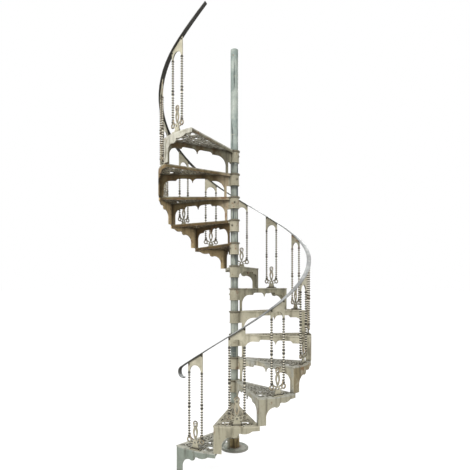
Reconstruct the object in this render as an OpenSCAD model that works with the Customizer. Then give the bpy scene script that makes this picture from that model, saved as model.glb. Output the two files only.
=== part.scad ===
// Cast-iron spiral staircase: pierced wedge treads round a tubular pole,
// a bead-turned baluster casting on each tread and a flat steel handrail.
// Millimetres, +Z up. The origin is on the floor, on the pole's axis.

/* [Stair] */
// Number of treads
tread_count = 13; // [6:1:13]
// Height from the top of one tread to the top of the next
rise = 230; // [190:1:260]
// Turn from one tread to the next, in degrees
turn = 28.62; // [24:0.01:32]
// Bearing of the first tread's front edge, in degrees
first_bearing = 226.15; // [0:0.05:360]
// Radius to the outer edge of the treads
stair_r = 760; // [700:5:900]

/* [Pole and base] */
// Outside radius of the pole
pole_r = 38.05; // [30:0.05:50]
// Wall of the pole
pole_wall = 4.5; // [3:0.1:8]
// Length of bare pole above the last tread
pole_above = 1020; // [300:5:1400]
// Radius of the round floor plate
base_r = 140; // [125:1:200]
// Thickness of the floor plate
base_t = 18; // [17:1:30]
// Wall of the socket round the pole's foot
socket_wall = 12; // [6:0.5:16]
// Height of the socket's top above the floor
socket_h = 110; // [60:1:110]
// Radius of each anchor bolt hole
bolt_r = 7; // [4:0.5:10]
// Radius of the circle of anchor bolt holes
bolt_circle_r = 112; // [104:1:114]
// Width of the low step round the floor plate's edge
base_step_w = 9; // [4:1:14]
// Height of that step above the floor
base_step_h = 11; // [6:0.5:16]
// Gap round the pole in its hubs and its socket
fit_gap = 0.3; // [0.1:0.05:0.8]

/* [Hub] */
// Height of each tread's hub
hub_h = 120; // [80:1:120]
// Wall of the hub round the pole
hub_wall = 8; // [6:0.5:16]
// How far the hub's top flange stands out
hub_flange_out = 9; // [4:0.5:14]
// Thickness of the hub's top flange
hub_flange_t = 12; // [8:0.5:20]
// Radius of the bead round the hub's foot
hub_bead_r = 4; // [2:0.5:6]
// Radius of the set screw's boss
screw_boss_r = 10; // [6:0.5:14]
// How far the boss stands out of the hub
screw_boss_out = 7; // [3:0.5:12]
// Turn of the boss from the tread's front edge, in degrees
screw_turn = 118; // [90:1:150]

/* [Tread] */
// Thickness of the pierced tread plate
plate_t = 9; // [6:0.5:14]
// How far the tread plate stands out over the riser
nosing = 6; // [0:0.5:12]
// How far the tread runs on under the riser above
tuck = 13; // [10:0.5:25]
// Width of the plain border along the front edge
front_border = 28; // [15:1:45]
// Width of the plain border along the rear edge
rear_border = 40; // [20:1:55]
// Width of the plain border along the outer edge
outer_border = 40; // [20:1:60]
// Radius of the plain plate round the hub
inner_border_r = 205; // [170:1:240]
// Width of the stem along the middle of the openwork
stem_w = 12; // [8:0.5:18]
// Width of the openwork's widest bars
scroll_bar_w = 10; // [7:0.5:12]
// Depth of the rim under the rear edge
rear_rim_h = 30; // [15:1:60]
// Thickness of the rim under the rear edge
rear_rim_t = 8; // [5:0.5:14]

/* [Riser] */
// Thickness of the riser
riser_t = 10; // [6:0.5:14]
// Gap between the pole and the riser's inner leg
inner_leg_gap = 40; // [25:1:60]
// Width of the riser's inner leg
inner_leg_w = 25; // [15:1:40]
// Width of the riser's outer leg
outer_leg_w = 50; // [30:1:80]
// Radius of the arch beside the inner leg
inner_arch_r = 94; // [50:1:110]
// Radius of the arch beside the outer leg
outer_arch_r = 66; // [40:1:110]
// Width of the flat lobe beside each arch
lobe_w = 57; // [20:1:80]
// Depth of the riser over the lobes
lobe_h = 70; // [60:1:100]
// Depth of the riser at its shallow rims
rim_h = 48; // [30:1:58]
// Radius of the step from a lobe to a rim
step_r = 29; // [20:1:36]
// Depth of the riser at the middle cusp
cusp_h = 90; // [72:1:110]
// Width of the blunt tip of the cusp
cusp_tip_w = 5; // [3:0.5:12]

/* [Outer skirt] */
// Thickness of the skirt under the outer edge
skirt_t = 10; // [6:0.5:14]
// Width of the skirt's leg
skirt_leg_w = 68; // [40:1:90]
// Radius of the arch beside the skirt's leg
skirt_arch_r = 80; // [50:1:95]
// Depth of the skirt over its first lobe
skirt_lobe_h = 85; // [60:1:100]
// Depth of the skirt over its second lobe
skirt_step_h = 55; // [48:1:58]
// Depth of the skirt at its far end
skirt_rim_h = 40; // [25:1:45]
// Radius of the skirt's first step
skirt_step_r = 25; // [12:1:29]
// Radius of the skirt's second step
skirt_rim_r = 12; // [6:1:14]
// Length of the second lobe along the edge
skirt_step_w = 105; // [60:1:140]
// How far the lobes of the skirt bulge below their ends
skirt_bulge = 6; // [2:0.5:9]

/* [Balusters] */
// Distance from the treads' outer edge in to the plane of the balusters
baluster_inset = 25; // [15:1:40]
// Turn of a baluster past the middle of its tread, in degrees
baluster_shift = 0.63; // [-2:0.01:2]
// Distance between a pair of rods
rod_gap = 127; // [100:1:150]
// Height of the lower end of a rod above its tread
rod_foot_z = 110; // [100:1:130]
// Height of the collar at the top of a rod
collar_z = 655; // [600:1:680]
// Radius of the rod between its beads
rod_r = 6; // [4:0.5:7]
// Radius of a bead
bead_r = 9; // [7.5:0.5:11]
// Distance from bead to bead
bead_pitch = 22; // [18:0.5:30]
// Radius of the collars at the top and foot of a rod
collar_r = 12.5; // [11:0.5:16]
// Height of the pair of large knops
knop_z = 375; // [300:1:450]
// Radius of a large knop
knop_r = 13; // [11:0.5:16]
// Distance between the two large knops
knop_gap = 29; // [24:1:34]
// Thickness of the flat castings of a baluster
flat_t = 9; // [6:0.5:14]
// Width of the flat bar above each collar
flat_bar_w = 17; // [12:0.5:24]
// Width of the bars of the foot ornament
scroll_w = 8; // [5:0.5:12]
// Radius of the ornament's upper ring
ring_r = 20.5; // [15:0.5:28]
// Height of the upper ring's middle above the tread
ring_z = 205; // [190:1:240]
// Half width of the long loop
loop_half_w = 18; // [12:0.5:26]
// Radius of the ornament's lower ring
knot_r = 23; // [16:0.5:28]
// Radius of the hole in the lower ring
knot_hole_r = 9; // [5:0.5:12]
// Height of the lower ring's middle above the tread
knot_z = 62; // [50:1:70]
// Radius of the round end of a drop loop
drop_r = 21; // [16:0.5:26]
// Height of the round end's middle above the tread
drop_z = 77; // [70:1:85]
// Width of the pedestal under the lower ring
pedestal_w = 38; // [28:1:60]
// Width of the pedestal where it meets the foot
pedestal_foot_w = 83; // [60:1:90]
// Width of the foot on the tread
foot_w = 104; // [92:1:140]
// Depth of the foot, along the stair's radius
foot_d = 46; // [24:1:56]
// Thickness of the foot
foot_t = 9; // [5:0.5:14]

/* [Handrail] */
// Height of the handrail's middle above a tread, over the middle of its balusters
rail_z = 792; // [700:1:1000]
// How far the handrail's middle lies outside the plane of the balusters
rail_out = 2; // [-6:0.5:6]
// Width of the handrail
rail_w = 42; // [30:1:60]
// Thickness of the handrail
rail_t = 10; // [6:0.5:16]
// Gap between the handrail and the balusters
rail_gap = 0.3; // [0.1:0.1:0.8]
// Turn that the handrail runs past the first pair of rods, in degrees
rail_start_turn = 7; // [2:0.5:12]
// Turn that the handrail runs past the last baluster's middle, in degrees
rail_end_turn = 24.5; // [8:0.5:40]
// How far the handrail's upper end is sprung up from its even slope
rail_end_lift = 56; // [0:1:120]
// Radius of the curl at the handrail's foot
curl_r = 50; // [30:1:60]
// Turn of the curl, in degrees
curl_turn = 155; // [90:5:220]

/* [Hidden] */
function two(k) = str(k < 10 ? "0" : "", k);
$fn = 48;
openwork_fn = 32;
// Distance from a skirt lobe's ends in to its bulge
bulge_inset = 4;
// Cutting shapes run past the faces that they cut by this much
past = 1;
paint = "#cfc6ae";
plate_paint = "#b4b8b0";
pole_paint = "#8ba7a3";
rust = "#7d5a40";
steel = "#a9acab";

hub_r = pole_r + fit_gap + hub_wall;
flange_r = hub_r + hub_flange_out;
socket_r = pole_r + fit_gap + socket_wall;
stair_top = tread_count * rise;
inner_leg_out = pole_r + inner_leg_gap + inner_leg_w;
inner_leg_in = pole_r + inner_leg_gap;
outer_leg_in = stair_r - outer_leg_w;
// Half of the angle that the outer edge of a tread takes up
edge_half = (turn + asin(tuck / stair_r)) / 2;
edge_half_w = stair_r * sin(edge_half);
// Turn from a tread's front edge to the middle of its balusters
baluster_turn = turn / 2 + baluster_shift;
baluster_ring_r = stair_r - baluster_inset;
rail_ring_r = baluster_ring_r + rail_out;
rail_slope = rise / (turn * PI / 180 * rail_ring_r);
// The first tread's hub reaches down to the socket
first_hub_h = rise - socket_h;

function at(r, a) = [r * cos(a), r * sin(a)];

// Width that a bar of the openwork would have in a scroll of no size, and
// how much wider it gets with the scroll's radius
scroll_least_w = 3;
scroll_growth = 0.13;
// Radius of the ring inside a scroll, and of the boss inside that ring, as
// shares of the radius that they lie in
ring_share = 0.64;
boss_share = 0.42;
// Ways that the rings inside the scrolls lie, pair by pair, and the way that
// a boss lies in its ring, in degrees
ring_ways = [130, -100];
boss_way = 215;
// Scrolls over these radii have three and five leaves in them
few_leaves_r = 28;
many_leaves_r = 46;
// Turn from leaf to leaf
leaf_turn = 38;
// Width of a leaf as a share of its scroll's bar
leaf_share = 1.2;
// Distance of a leaf from its scroll's middle, and a leaf's length, as
// shares of the scroll's radius
leaf_place = 0.65;
leaf_length = 0.76;
// Bars of the openwork run this far into what they join
bite = 2;
// Width of a drop loop's long leaf as a share of its round end's radius
drop_fullness = 1.7;
// Width of the bevel along the handrail's lower edges
rail_edge = 2;
// Where the inner lines of the front and rear borders would meet
field_front_y = front_border - nosing;
field_rear_y = tuck - rear_border;
field_apex = [(field_front_y * cos(turn) - field_rear_y) / sin(turn), field_front_y];

// The round floor plate, with a low step round its edge
module base_plate() {
    color(plate_paint)
    difference() {
        union() {
            cylinder(r = base_r, h = base_step_h);
            cylinder(r = base_r - base_step_w, h = base_t);
        }
        for (a = [0:90:270])
            rotate(a)
                translate([bolt_circle_r, 0, -past])
                    cylinder(r = bolt_r, h = base_t + 2 * past);
    }
}

// The socket that stands on the floor plate and holds the pole's foot
module pole_socket() {
    color(rust)
    translate([0, 0, base_t])
        difference() {
            cylinder(r = socket_r, h = socket_h - base_t);
            translate([0, 0, -past])
                cylinder(r = pole_r + fit_gap, h = socket_h);
        }
}

// The tube that carries the treads
module centre_pole() {
    pole_h = stair_top + pole_above - base_t;
    color(pole_paint)
    translate([0, 0, base_t])
        difference() {
            cylinder(r = pole_r, h = pole_h);
            translate([0, 0, -past])
                cylinder(r = pole_r - pole_wall, h = pole_h + 2 * past);
        }
}

// The plan of a tread, from its nosing to the strip under the riser above
module tread_plan(front, rear, outer) {
    far = 2 * stair_r;
    intersection() {
        circle(r = outer, $fn = 96);
        polygon([
            [0, front],
            [far, front],
            at(far, turn / 2) + [0, front],
            [far * cos(turn) - rear * sin(turn), far * sin(turn) + rear * cos(turn)],
            [-rear * sin(turn), rear * cos(turn)]
        ]);
    }
}

// One leaf-shaped hole: where two circles overlap
module leaf(length, width) {
    r = (length * length + width * width) / (4 * width);
    intersection() {
        translate([0, r - width / 2])
            circle(r = r);
        translate([0, width / 2 - r])
            circle(r = r);
    }
}

// A flat ring
module flat_ring(r, w) {
    difference() {
        circle(r = r);
        circle(r = r - w);
    }
}

// A scroll: a ring with a smaller ring and a boss inside it, each off centre
module volute(r, way) {
    w = min(scroll_bar_w, scroll_least_w + r * scroll_growth);
    inner_r = ring_share * r;
    boss_r = boss_share * inner_r;
    flat_ring(r, w);
    rotate(way)
        translate([r - inner_r - bite, 0]) {
            flat_ring(inner_r, w);
            rotate(boss_way)
                translate([inner_r - boss_r - bite, 0])
                    circle(r = boss_r);
        }
    leaves = r > many_leaves_r ? 5 : r > few_leaves_r ? 3 : 0;
    for (i = [1:leaves])
        rotate(way + 180 + (i - (leaves + 1) / 2) * leaf_turn)
            translate([leaf_place * r, 0])
                leaf(leaf_length * r, leaf_share * w);
}

// Scrolls in pairs along a middle stem, each pair wider than the one before
module scrolls() {
    q = turn / 4;
    growth = (1 + sin(q)) / (1 - sin(q));
    last = (stair_r - outer_border - field_apex.x / cos(turn / 2) + 2 * bite) / (1 + sin(q));
    pairs = floor(ln(last / (inner_border_r - field_apex.x)) / ln(growth)) + 1;
    translate(field_apex)
        rotate(turn / 2) {
            for (side = [0, 1])
                mirror([0, side])
                    for (i = [0:pairs - 1]) {
                        d = last / pow(growth, i);
                        rotate(q)
                            translate([d, 0])
                                volute(d * sin(q) + bite, ring_ways[i % 2] - q);
                    }
            translate([0, -stem_w / 2])
                square([stair_r, stem_w]);
        }
}

// The open part of a tread's plate, inside its plain borders
module tread_field() {
    difference() {
        tread_plan(front_border - nosing, tuck - rear_border, stair_r - outer_border);
        circle(r = inner_border_r);
    }
}

// The tread's plate: plain borders round the scrolls
module tread_plate() {
    difference() {
        tread_plan(-nosing, tuck, stair_r);
        circle(r = pole_r + fit_gap);
        tread_field();
    }
    intersection() {
        tread_field();
        scrolls($fn = openwork_fn);
    }
}

// The riser's outline, with arches, lobes and a middle cusp cut from below
module riser_face(own_hub_h) {
    lobe_in_end = inner_leg_out + inner_arch_r + lobe_w;
    lobe_out_end = outer_leg_in - outer_arch_r - lobe_w;
    cusp_x = (lobe_in_end + lobe_out_end) / 2;
    cusp_r = cusp_h - rim_h;
    difference() {
        translate([hub_r - hub_wall / 2, 0])
            square([stair_r - skirt_t / 2 - hub_r + hub_wall / 2, rise - plate_t / 2]);
        translate([0, -past])
            square([inner_leg_in, rise - own_hub_h + past]);
        translate([inner_leg_out, -past])
            square([outer_leg_in - inner_leg_out, rise - lobe_h - inner_arch_r + past]);
        translate([inner_leg_out + inner_arch_r, rise - lobe_h - inner_arch_r])
            circle(r = inner_arch_r);
        translate([outer_leg_in - outer_arch_r, rise - lobe_h - outer_arch_r])
            circle(r = outer_arch_r);
        translate([inner_leg_out + inner_arch_r, 0])
            square([outer_leg_in - outer_arch_r - inner_leg_out - inner_arch_r, rise - cusp_h]);
        translate([outer_leg_in - 2 * outer_arch_r, 0])
            square([2 * outer_arch_r, rise - lobe_h - outer_arch_r]);
        for (end = [[inner_leg_out + inner_arch_r, lobe_in_end + past],
                    [lobe_out_end - past, outer_leg_in - outer_arch_r]])
            translate([end[0], rise - cusp_h - past])
                square([end[1] - end[0], cusp_h - lobe_h + past]);
        for (side = [-1, 1]) {
            from = cusp_x + side * (cusp_tip_w / 2 + cusp_r);
            to = side < 0 ? lobe_in_end + step_r : lobe_out_end - step_r;
            translate([from, rise - cusp_h])
                circle(r = cusp_r);
            translate([to, rise - rim_h - step_r])
                circle(r = step_r);
            translate([min(from, to), rise - cusp_h - past])
                square([abs(to - from), cusp_h - rim_h + past]);
            translate([to - step_r, rise - cusp_h - past])
                square([2 * step_r, cusp_h - rim_h - step_r + past]);
        }
    }
}

// The riser: stands on the tread below and carries the front of the plate
module riser(own_hub_h) {
    translate([0, riser_t, 0])
        rotate([90, 0, 0])
            linear_extrude(riser_t)
                riser_face(own_hub_h);
}

// The circle that bulges below a lobe's level line, just inside its ends
module bulge(from, to, z) {
    half = (to - from) / 2 - bulge_inset;
    r = (half * half + skirt_bulge * skirt_bulge) / (2 * skirt_bulge);
    translate([(from + to) / 2, z + r - skirt_bulge])
        circle(r = r);
}

// What is cut from below the skirt, drawn flat, left to right from the leg
module skirt_cut() {
    start = -edge_half_w;
    far = 2 * edge_half_w + past;
    arch_x = start + skirt_leg_w + skirt_arch_r;
    arch_z = rise - skirt_lobe_h - skirt_arch_r;
    step_x = skirt_step_r;
    rim_x = skirt_step_w + skirt_rim_r;
    difference() {
        union() {
            translate([start + skirt_leg_w, -past])
                square([far, arch_z + past]);
            translate([arch_x, arch_z])
                circle(r = skirt_arch_r);
            translate([arch_x, 0])
                square([far, rise - skirt_lobe_h]);
            translate([step_x, rise - skirt_step_h - skirt_step_r])
                circle(r = skirt_step_r);
            translate([step_x, 0])
                square([far, rise - skirt_step_h]);
            translate([rim_x, rise - skirt_rim_h - skirt_rim_r])
                circle(r = skirt_rim_r);
            translate([rim_x, 0])
                square([far, rise - skirt_rim_h]);
        }
        bulge(arch_x, 0, rise - skirt_lobe_h);
        bulge(step_x, skirt_step_w, rise - skirt_step_h);
    }
}

// The skirt under the outer edge, with its own leg at the front corner
module skirt() {
    difference() {
        linear_extrude(rise - plate_t / 2)
            difference() {
                tread_plan(0, tuck, stair_r);
                circle(r = stair_r - skirt_t, $fn = 96);
            }
        rotate(edge_half)
            translate([stair_r + skirt_t, 0, 0])
                rotate([90, 0, -90])
                    mirror([1, 0, 0])
                        linear_extrude(3 * skirt_t + stair_r * (1 - cos(edge_half)))
                            skirt_cut();
    }
}

// The rim that stiffens the rear edge
module rear_rim() {
    rotate(turn)
        translate([hub_r - hub_wall / 2, tuck - rear_rim_t, rise - rear_rim_h])
            cube([stair_r * cos(asin(tuck / stair_r)) - hub_r + hub_wall / 2 - skirt_t / 2,
                rear_rim_t, rear_rim_h - plate_t / 2]);
}

// The hub that slides over the pole
module hub(own_hub_h) {
    rotate_extrude()
        difference() {
            union() {
                translate([0, rise - own_hub_h])
                    square([hub_r, own_hub_h]);
                translate([0, rise - hub_flange_t])
                    square([flange_r, hub_flange_t]);
                translate([hub_r, rise - own_hub_h + hub_bead_r])
                    circle(r = hub_bead_r);
            }
            translate([0, rise - own_hub_h - past])
                square([pole_r + fit_gap, own_hub_h + 2 * past]);
        }
}

// The boss of the hub's set screw
module screw_boss(own_hub_h) {
    rotate(screw_turn)
        translate([pole_r + fit_gap + hub_wall / 2, 0, rise - own_hub_h / 2])
            rotate([0, 90, 0])
                cylinder(r = screw_boss_r, h = hub_wall / 2 + screw_boss_out);
}

// One tread casting; the first has to clear the floor plate
module tread(k) {
    own_hub_h = k == 1 ? first_hub_h : hub_h;
    color(paint)
    rotate(first_bearing + (k - 1) * turn)
        translate([0, 0, (k - 1) * rise])
            difference() {
                union() {
                    translate([0, 0, rise - plate_t])
                        linear_extrude(plate_t)
                            tread_plate();
                    riser(own_hub_h);
                    skirt();
                    rear_rim();
                    hub(own_hub_h);
                    screw_boss(own_hub_h);
                }
                if (k == 1)
                    translate([0, 0, -past])
                        cylinder(r = base_r + past, h = base_t + past);
            }
}

// A turned rod: beads all the way up, a pair of knops and a collar at each end
module rod() {
    beads = round((collar_z - rod_foot_z) / bead_pitch);
    pitch = (collar_z - rod_foot_z) / beads;
    start = drop_z + drop_r - scroll_w / 2;
    rotate_extrude()
        intersection() {
            union() {
                translate([0, start])
                    square([rod_r, collar_z - start + collar_r]);
                for (i = [1:beads - 1])
                    translate([0, rod_foot_z + i * pitch])
                        circle(r = bead_r);
                for (side = [-1 / 2, 1 / 2])
                    translate([0, knop_z + side * knop_gap])
                        circle(r = knop_r);
                for (z = [rod_foot_z, collar_z])
                    translate([0, z])
                        circle(r = collar_r);
            }
            translate([0, start])
                square([2 * collar_r, collar_z]);
        }
}

// The head of a baluster: an arched plate with its top cut to the handrail's slope
module baluster_head() {
    half = (rod_gap + flat_bar_w) / 2;
    arch_r = (rod_gap - flat_bar_w) / 2;
    top = rail_z - rail_t / 2 / cos(atan(rail_slope)) - rail_gap;
    translate([0, flat_t / 2, 0])
        rotate([90, 0, 0])
            linear_extrude(flat_t)
                difference() {
                    polygon([
                        [-half, collar_z],
                        [half, collar_z],
                        [half, top + half * rail_slope],
                        [-half, top - half * rail_slope]
                    ]);
                    translate([0, collar_z + collar_r])
                        circle(r = arch_r);
                    translate([-arch_r, collar_z - past])
                        square([2 * arch_r, collar_r + past]);
                }
}

// One drop loop of the foot ornament, from the lower ring out to a rod
module drop_loop(way) {
    reach = way * rod_gap / 2;
    lean = atan2(drop_z - knot_z, reach);
    length = norm([reach, drop_z - knot_z]);
    width = drop_fullness * drop_r;
    difference() {
        union() {
            translate([reach, drop_z])
                circle(r = drop_r);
            translate([reach / 2, (drop_z + knot_z) / 2])
                rotate(lean)
                    leaf(length + drop_r, width);
        }
        translate([reach, drop_z])
            circle(r = drop_r - scroll_w);
        translate([reach / 2, (drop_z + knot_z) / 2])
            rotate(lean)
                leaf(length + drop_r - 4 * scroll_w, width - 2 * scroll_w);
    }
}

// The foot ornament: a ring on a long loop, a lower ring with a drop loop
// out to each rod, and a pedestal
module foot_ornament() {
    loop_low = knot_z + knot_r - scroll_w / 2;
    loop_h = ring_z - ring_r + scroll_w / 2 - loop_low;
    translate([0, flat_t / 2, 0])
        rotate([90, 0, 0])
            linear_extrude(flat_t) {
                translate([0, ring_z])
                    flat_ring(ring_r, scroll_w);
                translate([0, loop_low + loop_h / 2])
                    rotate(90)
                        difference() {
                            leaf(loop_h + scroll_w, 2 * loop_half_w);
                            leaf(loop_h - 2 * scroll_w, 2 * loop_half_w - 2 * scroll_w);
                        }
                difference() {
                    union() {
                        circle_at([0, knot_z], knot_r);
                        for (way = [-1, 1])
                            drop_loop(way);
                        polygon([
                            [-pedestal_w / 2, knot_z],
                            [pedestal_w / 2, knot_z],
                            [pedestal_foot_w / 2, foot_t / 2],
                            [-pedestal_foot_w / 2, foot_t / 2]
                        ]);
                    }
                    circle_at([0, knot_z], knot_hole_r);
                }
            }
}

module circle_at(p, r) {
    translate(p)
        circle(r = r);
}

// One baluster casting, bolted down near the outer edge of its tread
module baluster(k) {
    color(paint)
    rotate(first_bearing + (k - 1) * turn + baluster_turn)
        translate([baluster_ring_r, 0, k * rise])
            rotate(90)
                mirror([0, 1, 0]) {
                    for (side = [-1, 1])
                        translate([side * rod_gap / 2, 0, 0])
                            rod();
                    baluster_head();
                    foot_ornament();
                    translate([-foot_w / 2, -foot_d / 2, 0])
                        cube([foot_w, foot_d, foot_t]);
                }
}

// The handrail's path, unrolled: distance along the ring and height,
// measured from the middle of the first baluster on the first tread
rail_lean = atan(rail_slope);
rail_first = -(rod_gap / 2 / rail_ring_r * 180 / PI + rail_start_turn);
rail_last = (tread_count - 1) * turn + rail_end_turn;
helix_steps = 72;
curl_steps = 12;
curl_heading = 180 + rail_lean;
function along(a) = a * PI / 180 * rail_ring_r;
curl_start = [along(rail_first), along(rail_first) * rail_slope];
curl_middle = curl_start + curl_r * [cos(curl_heading + 90), sin(curl_heading + 90)];
// Each station is a point on the path and the way the path heads there
function curl_station(i) =
    let (t = curl_turn * i / curl_steps)
    [curl_middle + curl_r * [cos(curl_heading - 90 + t), sin(curl_heading - 90 + t)],
     curl_heading + t + 180];
// Past the last baluster's middle the path curves up from its even slope
function helix_station(i) =
    let (
        s = along(rail_first + (rail_last - rail_first) * i / helix_steps),
        end = along(rail_end_turn),
        t = max(0, (s - along(rail_last - rail_end_turn)) / end),
        lift = rail_end_lift * t * t,
        steeper = 2 * rail_end_lift * t / end
    )
    [[s, s * rail_slope + lift], atan(rail_slope + steeper)];
rail_stations = concat(
    [for (i = [curl_steps:-1:1]) curl_station(i)],
    [for (i = [0:helix_steps]) helix_station(i)]
);
// The handrail's section: a flat underside and a crowned top
rail_section = concat(
    [
        [-rail_w / 2, 0],
        [-rail_w / 2 + rail_edge, -rail_t / 2],
        [rail_w / 2 - rail_edge, -rail_t / 2]
    ],
    [for (i = [0:4]) let (u = 1 - i / 2) [u * rail_w / 2, rail_t / 2 * (1 - u * u)]]
);
function rail_point(st, p) =
    let (
        s = st[0][0] - p[1] * sin(st[1]),
        z = st[0][1] + p[1] * cos(st[1]),
        a = first_bearing + baluster_turn + s / rail_ring_r * 180 / PI,
        r = rail_ring_r + p[0]
    )
    [r * cos(a), r * sin(a), rise + rail_z + z];

// The handrail: a flat bar swept up the stair, curled at its foot
module handrail() {
    n = len(rail_section) - 1;
    section = [for (i = [1:n]) rail_section[i]];
    rings = len(rail_stations);
    points = [for (st = rail_stations) for (p = section) rail_point(st, p)];
    sides = [
        for (i = [0:rings - 2]) for (j = [0:n - 1])
            let (a = i * n + j, b = i * n + (j + 1) % n)
            each [[a, a + n, b], [b, a + n, b + n]]
    ];
    ends = [
        [for (j = [0:n - 1]) j],
        [for (j = [n - 1:-1:0]) (rings - 1) * n + j]
    ];
    color(steel)
    polyhedron(points = points, faces = concat(sides, ends));
}

base_plate();
pole_socket();
centre_pole();
handrail();
for (k = [1:tread_count]) {
    tread(k);
    baluster(k);
}
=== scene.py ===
"""Looks for a cast-iron spiral staircase: paint, rust, bare steel, beads and small fixings."""
import math

import bmesh
import bpy
from mathutils import Matrix, Vector


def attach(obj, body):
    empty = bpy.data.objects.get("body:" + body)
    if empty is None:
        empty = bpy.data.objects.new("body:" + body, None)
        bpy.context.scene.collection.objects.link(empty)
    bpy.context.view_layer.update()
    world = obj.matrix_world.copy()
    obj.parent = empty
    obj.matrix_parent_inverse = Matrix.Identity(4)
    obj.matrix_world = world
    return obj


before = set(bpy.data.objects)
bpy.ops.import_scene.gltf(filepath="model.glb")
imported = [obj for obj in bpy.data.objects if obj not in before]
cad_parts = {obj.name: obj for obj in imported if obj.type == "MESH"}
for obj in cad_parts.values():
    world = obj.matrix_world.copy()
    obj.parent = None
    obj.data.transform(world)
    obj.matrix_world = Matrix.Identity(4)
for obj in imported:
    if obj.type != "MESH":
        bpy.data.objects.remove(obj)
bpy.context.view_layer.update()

# Driving dimensions of the stair, as in its construction, in metres and degrees
TREADS = 13
RISE = 0.230
TURN = 28.62
FIRST_BEARING = 226.15
STAIR_R = 0.760
PLATE_T = 0.009
SKIRT_T = 0.010
HUB_R = 0.04635
HUB_H = 0.120
HUB_FLANGE_OUT = 0.009
HUB_FLANGE_T = 0.012
SCREW_BOSS_OUT = 0.007
SCREW_TURN = 118
BALUSTER_R = 0.735
BALUSTER_SHIFT = 0.63
ROD_GAP = 0.127
ROD_FOOT_Z = 0.110
COLLAR_Z = 0.655
BEAD_PITCH = 0.022
KNOP_Z = 0.375
KNOP_REACH = 0.026
DROP_Z = 0.077
FLAT_T = 0.009
FOOT_W = 0.104
FOOT_T = 0.009
RAIL_Z = 0.792

# The openwork's field, from the front and rear lines of its wedge and from the rim
FIELD_FRONT = 0.022
FIELD_REAR = 0.027
OUTER_BORDER = 0.040

# Upright flutes round each hub
HUB_FLUTES = 26

# Bold beads that the rods carry over their turned ones
BEAD_R = 0.0120
BEAD_HALF_H = 0.0075

# Round bars laid on the flat bars of the foot ornaments, with arcs in degrees
BAR_R = 0.0062
BAR_END_SHARE = 0.6
TOP_SCROLL_Z = 0.223
TOP_SCROLL_R = 0.0190
TOP_SCROLL_ARC = (-80, 215)
LENS_LOW = 0.098
LENS_HIGH = 0.204
LENS_W = 0.0190
LENS_STEPS = 24
FOOT_SCROLL_R = 0.0185
FOOT_SCROLL_ARC = (100, -200)
SCROLL_STEPS = 20
LEAF_MIDDLE = (0.020, 0.118)
LEAF_R = 0.034
LEAF_ARC = (-90, 20)
LEAF_STEPS = 12

# Small rings in the gaps that the scrolls of a tread's plate leave
RING_BAR_R = 0.0032
RING_BITE = 0.0012
CORNER_RING_R = 0.0129
GAP_LEVELS = 4

# Small fixings
SCREW_HEAD_R = 0.0068
SCREW_HEAD_OUT = 0.003
FOOT_BOLT_R = 0.0055
FOOT_BOLT_OUT = 0.0135
FOOT_BOLT_INSET = 0.011
RAIL_SCREW_R = 0.0050
RAIL_SCREW_OUT = 0.0025
RAIL_SCREW_DROP = 0.024
ROUND_HEAD_SIDES = 24
BOLT_HEAD_SIDES = 6

# Turns that point a frame's Z out from the stair's axis, or in to it
OUTWARDS = Matrix.Rotation(math.radians(90), 4, "Y")
INWARDS = Matrix.Rotation(math.radians(-90), 4, "Y")

# Zones that the paint follows, in metres
SOFT = 0.001
NEAR_HUB_R = 0.08
PAST_HUB_R = 0.22
HUB_ZONE_R = 0.0605
HUB_FOOT_H = 0.012
ROD_MARGIN = 0.004
NECK_INNER_R = 0.0076
NECK_OUTER_R = 0.0088
KNOP_INNER_R = 0.0099
KNOP_OUTER_R = 0.0138
POLE_SHADE_LOW = 1.35
POLE_SHADE_HIGH = 1.9
POLE_WASH_OVER = 0.05
POLE_WASH_FADE = 0.20
# the zone of painted shadow under each hub, on the pole
HUB_SHADOW_LOW = 0.055
HUB_SHADOW_HIGH = 0.015
FLOOR_STAIN_INNER_R = 0.05
FLOOR_STAIN_OUTER_R = 0.085

# How far apart the blotches of two treads and of two balusters lie
TREAD_SEED = 5.0
BALUSTER_SEED = 6.0

# Where the photograph was taken from
PHOTO_SIZE = 470
EYE = (-0.145, -4.28, 1.626)
LEVEL_VIEW = 90
FOCAL_PIXELS = 424.2
SENSOR_W = 36.0
SHIFT_X_PIXELS = 15.0
SHIFT_Y_PIXELS = 51.7

# The studio: each lamp's place, width and power, and the point that they face
LAMPS = {
    "key": ((-3.2, -4.2, 4.8), 2.2, 240),
    "fill": ((3.6, -3.4, 2.8), 2.8, 55),
    "back": ((1.5, 4.0, 4.8), 2.6, 110),
}
LAMP_AIM = (0, 0, 1.9)
WORLD_STRENGTH = 0.60
FLOOR_SIZE = 300.0
FLOOR_COLOUR = (0.9, 0.9, 0.9, 1)
FLOOR_GLOW = 1.20
SHADOW_SHARE = 0.25

# Colours as they look on the screen
CREAM = "#b8b29c"
BEIGE = "#a09b86"
BRIGHT = "#cdc6b0"
BRIGHT_CREAM = "#c6c0aa"
# pale neck paint, lightened as painted light against the beads' shade
NECK_PALE = "#ddd6c3"
# painted light: a cream lightened for the skirt's inner face, which lies in shade
CREAM_WITH_PAINTED_LIGHT = "#d8d0b8"
# a pale grey, also the painted highlight on the tops of the treads
PALE_GREY = "#aeaea4"
PALE_GREY_AND_LIT_TOP = "#c3c1b3"
GREEN_GREY = "#858d82"
DARK_GREEN_GREY = "#767e74"
OLIVE_GREY = "#817f6c"
OLIVE_BROWN = "#76694c"
DULL_FACE = "#858270"
DULL_LIGHT = "#aaa58e"
DULL_LIP = "#b6b39e"
SKIRT_BROWN = "#84714f"
STAIN_BROWN = "#776a4a"
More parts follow.
